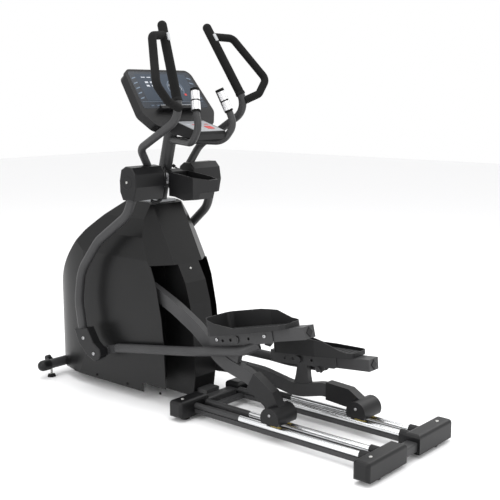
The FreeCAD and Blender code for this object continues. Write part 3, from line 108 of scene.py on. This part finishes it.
def grained(name, colour, shade, rough, grain, depth, metal=0.0, coat=0.0, shine=0.25):
    """A surface whose colour drifts a little between two tones, with a fine grain and its depth in metres."""
    material = bpy.data.materials.new(name)
    material.use_nodes = True
    tree = material.node_tree
    shader = tree.nodes["Principled BSDF"]
    shader.inputs["Metallic"].default_value = metal
    shader.inputs["Specular IOR Level"].default_value = shine
    shader.inputs["Coat Weight"].default_value = coat
    shader.inputs["Coat Roughness"].default_value = 0.25
    place = tree.nodes.new("ShaderNodeTexCoord")
    drift = tree.nodes.new("ShaderNodeTexNoise")
    drift.inputs["Scale"].default_value = 7
    drift.inputs["Detail"].default_value = 5
    tones = tree.nodes.new("ShaderNodeValToRGB")
    tones.color_ramp.elements[0].position = 0.3
    tones.color_ramp.elements[0].color = (*shade, 1)
    tones.color_ramp.elements[1].position = 0.7
    tones.color_ramp.elements[1].color = (*colour, 1)
    fine = tree.nodes.new("ShaderNodeTexNoise")
    fine.inputs["Scale"].default_value = grain
    fine.inputs["Detail"].default_value = 4
    gloss = tree.nodes.new("ShaderNodeMapRange")
    gloss.inputs["To Min"].default_value = rough - 0.06
    gloss.inputs["To Max"].default_value = rough + 0.08
    bump = tree.nodes.new("ShaderNodeBump")
    bump.inputs["Strength"].default_value = 0.35
    bump.inputs["Distance"].default_value = depth
    tree.links.new(place.outputs["Object"], drift.inputs["Vector"])
    tree.links.new(place.outputs["Object"], fine.inputs["Vector"])
    tree.links.new(drift.outputs["Fac"], tones.inputs["Fac"])
    tree.links.new(tones.outputs["Color"], shader.inputs["Base Color"])
    tree.links.new(fine.outputs["Fac"], gloss.inputs["Value"])
    tree.links.new(gloss.outputs["Result"], shader.inputs["Roughness"])
    tree.links.new(fine.outputs["Fac"], bump.inputs["Height"])
    tree.links.new(bump.outputs["Normal"], shader.inputs["Normal"])
    return material


def dress(material, *names):
    """Gives CAD nodes their finish."""
    for name in names:
        mesh = nodes[name].data
        mesh.materials.clear()
        mesh.materials.append(material)


powder_coat = grained(
    "powder_coat", (0.036, 0.036, 0.037), (0.028, 0.028, 0.029), 0.42, 900, 0.0002, shine=0.3,
)
dress(
    powder_coat, "base_frame", "front_stabiliser", "middle_stabiliser", "rear_stabiliser", "rail_bed", "mast",
    "fixed_grip_bar", "left_handle", "right_handle", "left_lower_arm", "right_lower_arm", "left_pedal_link",
    "right_pedal_link", "left_pedal_beam", "right_pedal_beam",
)

# ---------------------------------------------------------------- rails
# Four drawn aluminium tubes, polished lengthways, that the rollers run on.
# They lie in the steel runners and end under the rear hoods.
rail_polish = grained("rail_polish", (0.83, 0.84, 0.85), (0.7, 0.71, 0.72), 0.22, 420, 0.0001, metal=1.0)
dress(rail_polish, "guide_rails")

# ---------------------------------------------------------------- caps and feet
# Injection-moulded hoods slide over the ends of the stabilisers and are held by one screw each.
# Rubber pads on zinc-plated studs level the machine.
moulded_black = grained(
    "moulded_black", (0.0075, 0.0075, 0.008), (0.0055, 0.0055, 0.006), 0.38, 1400, 0.00015,
)
foot_rubber = grained("foot_rubber", (0.01, 0.01, 0.01), (0.007, 0.007, 0.007), 0.78, 500, 0.0004, shine=0.15)
zinc = grained("zinc", (0.62, 0.62, 0.6), (0.5, 0.5, 0.48), 0.32, 800, 0.0001, metal=1.0)
dress(moulded_black, "stabiliser_caps", "left_transport_wheel", "right_transport_wheel")
dress(foot_rubber, "levelling_feet")


SIDES = (("left", -1), ("right", 1))


def clean_edges(mesh, angle=32):
    """Smooth faces that stay crisp where the surface turns by more than an angle in degrees."""
    work = bmesh.new()
    work.from_mesh(mesh)
    for face in work.faces:
        face.smooth = True
    for edge in work.edges:
        edge.smooth = edge.calc_face_angle(math.pi) < math.radians(angle)
    work.to_mesh(mesh)
    work.free()


def turned(name, profile, place, direction, material, body, sides=28):
    """A lathe-turned piece: radius and height pairs, spun about a direction from a place."""
    work = bmesh.new()
    rings = []
    for radius, height in profile:
        ring = []
        for step in range(sides):
            angle = 2 * math.pi * step / sides
            ring.append(work.verts.new((radius * math.cos(angle), radius * math.sin(angle), height)))
        rings.append(ring)
    for below, above in zip(rings, rings[1:]):
        for step in range(sides):
            after = (step + 1) % sides
            work.faces.new((below[step], below[after], above[after], above[step]))
    work.faces.new(list(reversed(rings[0])))
    work.faces.new(rings[-1])
    mesh = bpy.data.meshes.new(name)
    work.to_mesh(mesh)
    work.free()
    turn = Vector(direction).to_track_quat("Z", "Y").to_matrix().to_4x4()
    mesh.transform(Matrix.Translation(Vector(place)) @ turn)
    clean_edges(mesh)
    mesh.materials.append(material)
    piece = bpy.data.objects.new(name, mesh)
    scene.collection.objects.link(piece)
    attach(piece, body)
    return piece


def cap_screw(name, place, direction, body, radius=0.006, material=None):
    """A button-head screw with a socket in its crown, standing on a surface."""
    profile = [
        (radius, -0.001), (radius, radius * 0.25), (radius * 0.86, radius * 0.5),
        (radius * 0.6, radius * 0.6), (radius * 0.45, radius * 0.58), (radius * 0.42, radius * 0.15),
    ]
    return turned(name, profile, place, direction, material or zinc, body, 20)


UP = (0, 0, 1)
CAP_SCREWS = (("middle", 0.215, 0.012, 0.088), ("rear", 0.235, -0.932, 0.09))
FOOT_NUTS = (("front", 0.912, 0.041), ("middle", 0.012, 0.0185), ("rear", -0.932, 0.0185))
for side_name, side in SIDES:
    for row, x, y, top in CAP_SCREWS:
        cap_screw(f"{side_name}_{row}_cap_screw", (side * x, y, top - 0.001), UP, "stand", 0.007)
    for row, y, top in FOOT_NUTS:
        collar = [(0.0095, 0), (0.0095, 0.0038), (0.0075, 0.0046), (0.0056, 0.0046), (0.0056, top - 0.013)]
        place = (side * 0.202, y, 0.0122)
        turned(f"{side_name}_{row}_foot_nut", collar, place, UP, zinc, "stand", 6)

# ---------------------------------------------------------------- drive
# Inside the housing a steel crank turns a large ribbed pulley, which drives the flywheel by a belt.
# A magnet bridge over the flywheel's rim gives the resistance.
turned_steel = grained("turned_steel", (0.55, 0.55, 0.56), (0.42, 0.42, 0.43), 0.3, 650, 0.0001, metal=1.0)
machined_iron = grained("machined_iron", (0.2, 0.2, 0.21), (0.13, 0.13, 0.14), 0.42, 300, 0.0003, metal=1.0)
belt_rubber = grained("belt_rubber", (0.02, 0.02, 0.02), (0.014, 0.014, 0.014), 0.7, 700, 0.0003)
dress(turned_steel, "crank_axle", "crank_arms", "drive_pulley", "pivot_axle")
dress(machined_iron, "flywheel", "brake_unit")
dress(belt_rubber, "drive_belt")
dress(moulded_black, "drive_guard")

# ---------------------------------------------------------------- housing
# Two side panels, a front strip and a rear column, each moulded in black plastic with a fine grain.
# They close round the drive and are screwed together along their lower edges.
panel_black = grained(
    "panel_black", (0.006, 0.006, 0.0062), (0.0045, 0.0045, 0.0047), 0.3, 1500, 0.0001, shine=0.22,
)
trim_grey = grained("trim_grey", (0.42, 0.43, 0.44), (0.36, 0.37, 0.38), 0.38, 900, 0.0001)
dress(panel_black, "left_shroud", "right_shroud", "front_shroud", "rear_shroud")
dress(trim_grey, "trim_strips", "top_collar")
for side_name, side in SIDES:
    for number, y in enumerate((0.191, 0.402, 0.61), start=1):
        screw_name = f"{side_name}_housing_screw_{number}"
        cap_screw(screw_name, (side * 0.1715, y, 0.062), (side, 0, 0), "stand", 0.006, foot_rubber)
cap_screw("rear_column_screw", (0, 0.1667, 0.595), (0, -0.88, 0.47), "stand", 0.0055, zinc)

# ---------------------------------------------------------------- console
# A two-part moulded shell holds a flat overlay, printed with the display's marks.
# A keypad stands out below on a nose, with a silver frame round its keys.
display_ink = grained("display_ink", (0.022, 0.028, 0.038), (0.017, 0.022, 0.03), 0.2, 60, 0.00002, coat=0.15)
print_pale = grained("print_pale", (0.16, 0.2, 0.26), (0.12, 0.16, 0.21), 0.35, 60, 0.00001)
print_white = grained("print_white", (0.5, 0.52, 0.56), (0.42, 0.44, 0.48), 0.35, 60, 0.00001)
print_blue = grained("print_blue", (0.03, 0.042, 0.06), (0.024, 0.034, 0.05), 0.3, 60, 0.00001)
print_red = grained("print_red", (0.5, 0.04, 0.03), (0.4, 0.03, 0.03), 0.4, 60, 0.00001)
silver_frame = grained("silver_frame", (0.42, 0.43, 0.45), (0.34, 0.35, 0.37), 0.34, 800, 0.0001, metal=0.6)
dress(moulded_black, "console_back", "console_front")
dress(display_ink, "display_panel")
dress(silver_frame, "keypad_panel")
dress(print_red, "stop_key")
dress(trim_grey, "start_key")

LEAN = math.radians(37)
console_place = Matrix((
    (1, 0, 0, 0),
    (0, math.sin(LEAN), -math.cos(LEAN), 0.178),
    (0, math.cos(LEAN), math.sin(LEAN), 1.213),
    (0, 0, 0, 1),
))
NOSE = math.atan2(0.044, 0.140)
nose_place = Matrix((
    (1, 0, 0, 0),
    (0, math.cos(NOSE), -math.sin(NOSE), 0.032),
    (0, math.sin(NOSE), math.cos(NOSE), 1.192),
    (0, 0, 0, 1),
))


def inlay(name, corners, low, high, place, material, body, soft=0.0):
    """A thin plate cut to an outline and laid on a flat place."""
    work = bmesh.new()
    base = [work.verts.new((x, y, low)) for x, y in corners]
    face = work.faces.new(base)
    raised = bmesh.ops.extrude_face_region(work, geom=[face])
    top = [item for item in raised["geom"] if isinstance(item, bmesh.types.BMVert)]
    bmesh.ops.translate(work, verts=top, vec=(0, 0, high - low))
    bmesh.ops.recalc_face_normals(work, faces=work.faces)
    if soft:
        upright = []
        for edge in work.edges:
            start, end = edge.verts[0].co, edge.verts[1].co
            if abs(start.x - end.x) + abs(start.y - end.y) < 1e-6:
                upright.append(edge)
        bmesh.ops.bevel(work, geom=upright, offset=soft, segments=5, affect="EDGES")
    mesh = bpy.data.meshes.new(name)
    work.to_mesh(mesh)
    work.free()
    mesh.transform(place)
    clean_edges(mesh)
    mesh.materials.append(material)
    piece = bpy.data.objects.new(name, mesh)
    scene.collection.objects.link(piece)
    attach(piece, body)
    return piece


def bar(x, y, width, height):
    """The outline of a rectangle from its lower left corner."""
    return [(x, y), (x + width, y), (x + width, y + height), (x, y + height)]


def arc_band(x, y, radius, width, start, end, steps=24):
    """The outline of a curved band round a point, between two angles in degrees."""
    angles = [math.radians(start + (end - start) * step / steps) for step in range(steps + 1)]
    inside = radius - width
    outer = [(x + radius * math.cos(a), y + radius * math.sin(a)) for a in angles]
    inner = [(x + inside * math.cos(a), y + inside * math.sin(a)) for a in reversed(angles)]
    return outer + inner


def printed(name, corners, material, lift=0.0007):
    """A mark printed on the display's overlay, a fraction of a millimetre thick."""
    inlay(name, corners, 0.0002, lift, console_place, material, "stand")


printed("display_field", bar(-0.150, 0.132, 0.300, 0.140), print_blue, 0.0005)
printed("display_rule", bar(-0.184, 0.126, 0.368, 0.0012), print_pale)
for side_name, side in SIDES:
    for number in range(5):
        low = 0.140 + 0.026 * number
        x = side * (0.187 - 0.07 * (low - 0.09))
        inner_low, inner_high = (x - side * 0.022, low + 0.006), (x - side * 0.024, low + 0.012)
        corners = [(x, low), inner_low, inner_high, (x, low + 0.005)]
        printed(f"{side_name}_level_mark_{number + 1}", corners if side < 0 else corners[::-1], print_pale)
for number in range(3):
    printed(f"heading_mark_{number + 1}", bar(-0.120 + 0.032 * number, 0.252, 0.022, 0.004), print_white)
for number in range(6):
    row, column = divmod(number, 3)
    digit = bar(-0.112 + 0.030 * column, 0.205 + 0.018 * row, 0.018, 0.009)
    printed(f"digit_mark_{number + 1}", digit, print_white)
printed("dial_outer", arc_band(0.052, 0.196, 0.046, 0.0028, -40, 220), print_pale)
printed("dial_inner", arc_band(0.052, 0.196, 0.036, 0.002, -20, 160), print_white)
printed("dial_core", arc_band(0.052, 0.196, 0.024, 0.0016, 60, 330), print_pale)
printed("heart_mark", bar(0.088, 0.158, 0.012, 0.010), print_red)
for number in range(9):
    x = 0.034 * number
    printed(f"lower_key_{number + 1}", bar(-0.150 + x, 0.101, 0.024, 0.012), print_blue)
    printed(f"lower_mark_{number + 1}", bar(-0.144 + x, 0.1055, 0.012, 0.002), print_pale, 0.0009)

for number in range(4):
    mark = bar(-0.066 + 0.036 * number, 0.086, 0.022, 0.006)
    ink = print_red if number % 2 else print_white
    inlay(f"keypad_mark_{number + 1}", mark, -0.0004, 0.0006, nose_place, ink, "stand")
ledge = bar(-0.120, 0.0885, 0.240, 0.002)
inlay("book_ledge_edge", ledge, 0.0255, 0.0265, console_place, trim_grey, "stand")

# ---------------------------------------------------------------- fixed grips
# One bent tube is welded across the mast; each end has a rubber sleeve with two steel contact plates.
# The plates read the pulse through the palms.
grip_foam = grained("grip_foam", (0.008, 0.008, 0.008), (0.005, 0.005, 0.005), 0.86, 520, 0.0008, shine=0.15)
contact_steel = grained("contact_steel", (0.8, 0.8, 0.81), (0.7, 0.7, 0.71), 0.3, 500, 0.0001, metal=1.0)
dress(grip_foam, "pulse_grips", "left_handle_grip", "right_handle_grip")
dress(contact_steel, "pulse_plates")

# ---------------------------------------------------------------- cup holder
# A deep tub moulded in black plastic, on the user's side of the mast.
# Its hood closes over the pivot axle.
dress(moulded_black, "cup_holder")

# ---------------------------------------------------------------- sensor cables
# A soft rubber cable leaves a grommet on each side of the mast and drops under the pivot cover.
# Its lower stretch runs in a ribbed hose.
cable_rubber = grained("cable_rubber", (0.012, 0.012, 0.0125), (0.009, 0.009, 0.0095), 0.55, 900, 0.0002)
dress(cable_rubber, "cable_grommets")
CABLE_ROUTE = (
    (0.028, 0.291, 1.034), (0.047, 0.266, 1.013), (0.062, 0.249, 0.985), (0.066, 0.245, 0.950),
    (0.068, 0.252, 0.917), (0.084, 0.262, 0.893), (0.112, 0.266, 0.884), (0.134, 0.266, 0.897),
)


def sensor_cable(side_name, side):
    """One cable as a smooth curve along the route, on one side of the mast."""
    curve = bpy.data.curves.new(side_name + "_cable", "CURVE")
    curve.dimensions = "3D"
    curve.bevel_depth = 0.0035
    curve.bevel_resolution = 6
    curve.resolution_u = 16
    curve.use_fill_caps = True
    line = curve.splines.new("NURBS")
    line.points.add(len(CABLE_ROUTE) - 1)
    for point, (x, y, z) in zip(line.points, CABLE_ROUTE):
        point.co = (side * x, y, z, 1)
    line.order_u = 3
    line.use_endpoint_u = True
    curve.materials.append(cable_rubber)
    cable = bpy.data.objects.new(side_name + "_cable", curve)
    scene.collection.objects.link(cable)
    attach(cable, "stand")
    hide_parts(side_name + "_sensor_cable")
    x, y, z = CABLE_ROUTE[0]
    return cable


def line_points(cable):
    """Points along the middle of a cable, read from its own curve."""
    bare = cable.data.copy()
    bare.bevel_depth = 0
    holder = bpy.data.objects.new("bare_line", bare)
    scene.collection.objects.link(holder)
    bpy.context.view_layer.update()
    mesh = bpy.data.meshes.new_from_object(holder.evaluated_get(bpy.context.evaluated_depsgraph_get()))
    points = [vertex.co.copy() for vertex in mesh.vertices]
    bpy.data.objects.remove(holder)
    bpy.data.meshes.remove(mesh)
    return points


HOSE_START = 0.42
HOSE_PITCH = 0.0015
HOSE_STEPS = 18


def ribbed_hose(name, points, body):
    """A corrugated sleeve along part of a cable: two fat rings, then two thin ones, over and over."""
    work = bmesh.new()
    rings = []
    travelled = 0.0
    spaced = [points[0]]
    for one, two in zip(points, points[1:]):
        gap = (two - one).length
        while travelled + gap >= HOSE_PITCH and gap > 1e-9:
            one = one.lerp(two, (HOSE_PITCH - travelled) / gap)
            spaced.append(one)
            gap = (two - one).length
            travelled = 0.0
        travelled += gap
    side = Vector((1, 0, 0))
    for number, point in enumerate(spaced[:-1]):
        along = (spaced[number + 1] - point).normalized()
        side = (side - along * side.dot(along)).normalized()
        other = along.cross(side)
        radius = 0.0072 if number % 4 < 2 else 0.0060
        ring = []
        for step in range(HOSE_STEPS):
            angle = 2 * math.pi * step / HOSE_STEPS
            ring.append(work.verts.new(point + (side * math.cos(angle) + other * math.sin(angle)) * radius))
        rings.append(ring)
    for below, above in zip(rings, rings[1:]):
        for step in range(HOSE_STEPS):
            after = (step + 1) % HOSE_STEPS
            work.faces.new((below[step], below[after], above[after], above[step]))
    work.faces.new(list(reversed(rings[0])))
    work.faces.new(rings[-1])
    mesh = bpy.data.meshes.new(name)
    work.to_mesh(mesh)
    work.free()
    clean_edges(mesh, 50)
    mesh.materials.append(cable_rubber)
    hose = bpy.data.objects.new(name, mesh)
    scene.collection.objects.link(hose)
    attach(hose, body)


for side_name, side in SIDES:
    cable_line = line_points(sensor_cable(side_name, side))
    first = int(len(cable_line) * HOSE_START)
    ribbed_hose(side_name + "_cable_hose", cable_line[first:], "stand")

# ---------------------------------------------------------------- swing arms
# Each arm is a looped steel handle above the pivot and a bent bar below it, under a moulded cover.
# A black plastic boot is screwed round the joint to the pedal link.
dress(moulded_black, "left_pivot_cover", "right_pivot_cover", "left_arm_boot", "right_arm_boot")
dress(trim_grey, "left_thumb_switch", "right_thumb_switch")
ARM_SWING = {"left": 15.894, "right": 9.631}
ARM_AXIS = Vector((0, 0.270, 0.985))


def on_arm(side_name, x, y, z):
    """A place given in an arm's own frame, its link pivot straight below its axis."""
    turn = Matrix.Rotation(math.radians(ARM_SWING[side_name]), 4, "X")
    return ARM_AXIS + turn @ Vector((x, y, z))


GRIP_COLLAR = [(0.0172, -0.005), (0.0205, -0.004), (0.0210, 0.0), (0.0210, 0.006), (0.0198, 0.008)]
PIVOT_BUTTON = [
    (0.030, -0.0005), (0.030, 0.0008), (0.027, 0.0014), (0.0265, 0.0004), (0.012, 0.0004), (0.010, 0.0012),
]
BOOT_SCREWS = ((0.104, -0.782), (0.022, -0.822))
for side_name, side in SIDES:
    arm = side_name + "_arm"
    outward = (side, 0, 0)
    grip_low = on_arm(side_name, side * 0.213, -0.146, 0.391)
    grip_high = on_arm(side_name, side * 0.171, 0.050, 0.639)
    grip_run = grip_high - grip_low
    turned(side_name + "_grip_collar", GRIP_COLLAR, grip_low, grip_run, foot_rubber, arm, 40)
    for number, (y, z) in enumerate(BOOT_SCREWS, start=1):
        place = on_arm(side_name, side * 0.2665, y, z)
        cap_screw(f"{side_name}_boot_screw_{number}", place, outward, arm, 0.008, turned_steel)
    place = on_arm(side_name, side * 0.2625, 0.004, -0.004)
    turned(side_name + "_pivot_button", PIVOT_BUTTON, place, outward, moulded_black, arm, 40)
    crown = place + Vector((side * 0.001, 0, 0))
    cap_screw(side_name + "_pivot_screw", crown, outward, arm, 0.0055, zinc)

# ---------------------------------------------------------------- pedals
# A foot tray moulded in black plastic is bolted to a steel bracket at the end of each link bar.
# A ribbed rubber mat lies in the tray, and a plastic plug closes the bracket's tail.
tray_plastic = grained("tray_plastic", (0.012, 0.012, 0.0125), (0.009, 0.009, 0.0095), 0.45, 1100, 0.0002)
dress(tray_plastic, "left_pedal_tray", "right_pedal_tray")
mat_rubber = grained("mat_rubber", (0.045, 0.045, 0.046), (0.03, 0.03, 0.031), 0.72, 700, 0.0004, shine=0.2)
PEDAL_TILT = {"left": 13.019, "right": 5.218}


def joint_places(ending):
    """Where the joints whose names have an ending lie, by the body that each one moves."""
    return {
        joint["child"]: joint["pos_m"] for joint in frame["joints"] if joint["name"].endswith(ending)
    }


pedal_pivots = joint_places("_pedal_pitch")


def pedal_place(side_name):
    """The tray's own frame: its pivot, tilted as the tray rests."""
    turn = Matrix.Rotation(-math.radians(PEDAL_TILT[side_name]), 4, "X")
    return Matrix.Translation(Vector(pedal_pivots[side_name + "_pedal"])) @ turn


def tread_mat(side_name, side):
    """A rubber mat that drops into the tray, with ribs moulded across it."""
    place = pedal_place(side_name)
    pedal = side_name + "_pedal"
    near, far = 0.073, 0.219
    outline = [
        (near, 0.080), (near + 0.024, 0.106), (far - 0.024, 0.106), (far, 0.080), (far, -0.112),
        (far - 0.020, -0.256), (near + 0.020, -0.256), (near, -0.112),
    ]
    outline = [(side * x, y) for x, y in outline]
    inlay(side_name + "_tread_mat", outline, 0.0332, 0.0352, place, mat_rubber, pedal)
    for number in range(15):
        y = -0.240 + 0.022 * number
        draw = 0.024 if y < -0.2 or y > 0.068 else 0.014
        low, high = sorted((side * (near + draw), side * (far - draw)))
        rib = bar(low, y, high - low, 0.009)
        inlay(f"{side_name}_tread_rib_{number + 1}", rib, 0.0350, 0.0372, place, mat_rubber, pedal,
              0.003)


BRACKET_PLUG = [(0.021, -0.0005), (0.021, 0.002), (0.018, 0.0035), (0.006, 0.0035)]
for side_name, side in SIDES:
    tread_mat(side_name, side)
    place = pedal_place(side_name)
    pedal = side_name + "_pedal"
    for number, y in enumerate((0.105, -0.150), start=1):
        head = place @ Vector((side * 0.175, y, 0.006))
        cap_screw(f"{side_name}_bracket_bolt_{number}", head, (side, 0, 0), pedal, 0.0075, turned_steel)
    tail = place @ Vector((side * 0.139, -0.3452, 0.004))
    back = place.to_3x3() @ Vector((0, -1, 0))
    turned(side_name + "_bracket_plug", BRACKET_PLUG, tail, back, moulded_black, pedal, 4)

# ---------------------------------------------------------------- roller carriages
# Two polyurethane rollers on one steel axle carry each beam along its rails.
# A moulded hood is screwed over them from both sides.
polyurethane = grained("polyurethane", (0.62, 0.47, 0.1), (0.52, 0.38, 0.07), 0.3, 200, 0.0002, coat=0.3)
dress(polyurethane, "left_rollers", "right_rollers")
dress(moulded_black, "left_roller_cover", "right_roller_cover")
axles = joint_places("_roller_turn")
for side_name, side in SIDES:
    _, y, z = axles[side_name + "_roller_pair"]
    for face, out, reach in (("outer", side, 0.2), ("inner", -side, 0.08)):
        place = (side * reach - out * 0.0005, y, z + 0.016)
        screw_name = f"{side_name}_hood_{face}_screw"
        cap_screw(screw_name, place, (out, 0, 0), side_name + "_carriage", 0.006, turned_steel)
